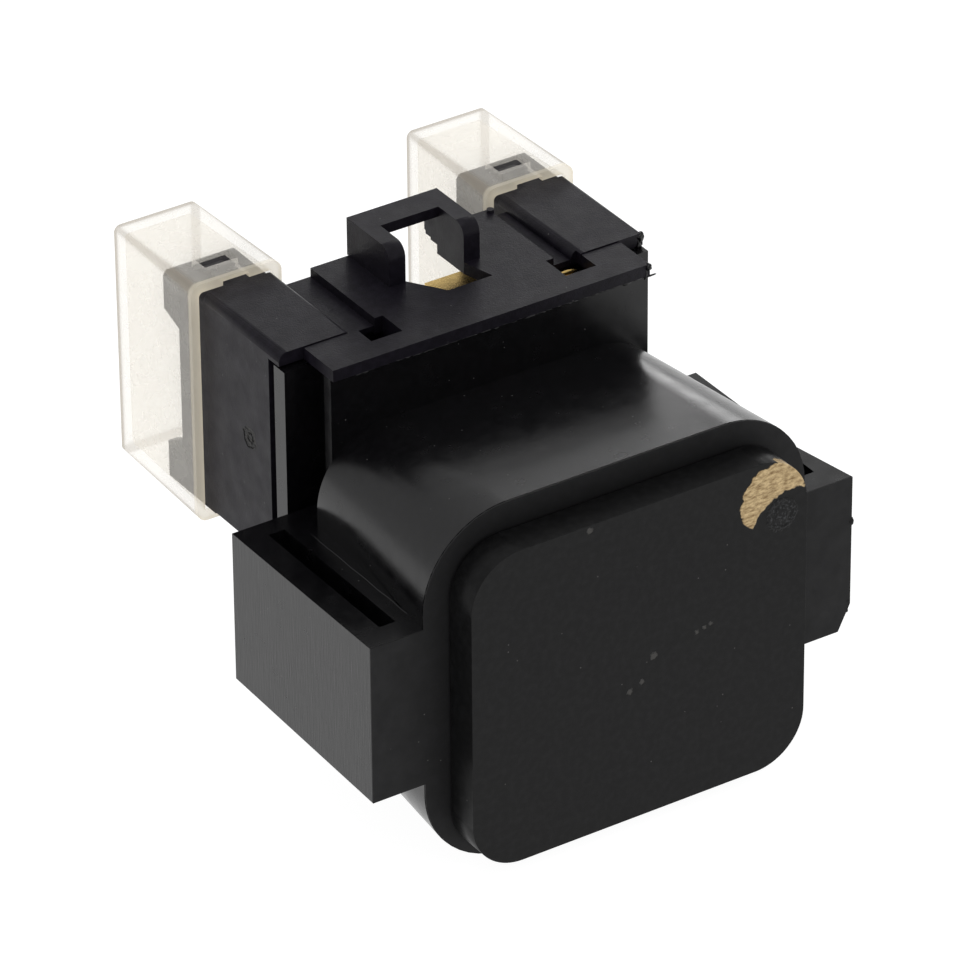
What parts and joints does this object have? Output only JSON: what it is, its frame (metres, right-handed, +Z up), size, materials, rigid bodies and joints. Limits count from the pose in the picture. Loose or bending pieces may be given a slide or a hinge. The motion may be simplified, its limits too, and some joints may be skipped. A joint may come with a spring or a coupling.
{
  "type": "starter relay",
  "caption": "Black plastic starter relay with potted coil housing, slotted mounting ears, harness socket with latch loop, threaded terminals and pull-off translucent fuse caps.",
  "frame": {"origin": "on the coil axis, in the plane of the rear cover's outer face", "axes": "+Y along the coil axis from the rear cover towards the terminals and fuse caps, +Z up towards the latch loop, +X towards the ear with the trimmed edge"},
  "size_m": [0.052, 0.0565, 0.0461],
  "materials": {
    "housing_plastic": "glossy black, moulded",
    "cover_plastic": "satin black, moulded",
    "cap_plastic": "milky translucent",
    "seal_rubber": "matte",
    "coil_iron": "zinc plated",
    "zinc_steel": "bright zinc plated",
    "spring_steel": "drawn wire",
    "contact_brass": "stamped",
    "copper": "copper",
    "enamelled_wire": "enamelled copper wire, wound",
    "bobbin_plastic": "natural nylon"
  },
  "bodies": {
    "relay": {"rear_cover": "cover_plastic", "cover_gasket": "seal_rubber", "coil_housing": "housing_plastic", "coil_yoke": "coil_iron", "yoke_plate": "coil_iron", "coil_bobbin": "bobbin_plastic", "coil_winding": "enamelled_wire", "fixed_core": "coil_iron", "rod_guide": "bobbin_plastic", "seam_seal": "seal_rubber", "terminal_block": "housing_plastic", "connector_pins": "contact_brass", "left_fuse_clips": "contact_brass", "right_fuse_clips": "contact_brass", "fuse_link": "contact_brass", "coil_leads": "enamelled_wire", "left_stud": "copper", "right_stud": "copper", "plain_washers": "zinc_steel", "spring_washers": "zinc_steel", "terminal_nuts": "zinc_steel", "return_spring": "spring_steel"},
    "armature": {"plunger": "coil_iron", "push_rod": "spring_steel", "rod_clips": "spring_steel", "contact_spring": "spring_steel", "contact_bridge": "copper"},
    "left_cap": {"left_fuse_cap": "cap_plastic"},
    "right_cap": {"right_fuse_cap": "cap_plastic"}
  },
  "joints": [
    {"name": "armature_stroke", "type": "slide", "parent": "relay", "child": "armature", "axis": [0, 1, 0], "range_m": [0, 0.0018], "stiffness_N_per_m": 300, "springref_m": -0.003, "deforming": ["return_spring"]},
    {"name": "left_cap_pull", "type": "slide", "parent": "relay", "child": "left_cap", "axis": [0, 1, 0], "range_m": [0, 0.012]},
    {"name": "right_cap_pull", "type": "slide", "parent": "relay", "child": "right_cap", "axis": [0, 1, 0], "range_m": [0, 0.012]}
  ]
}
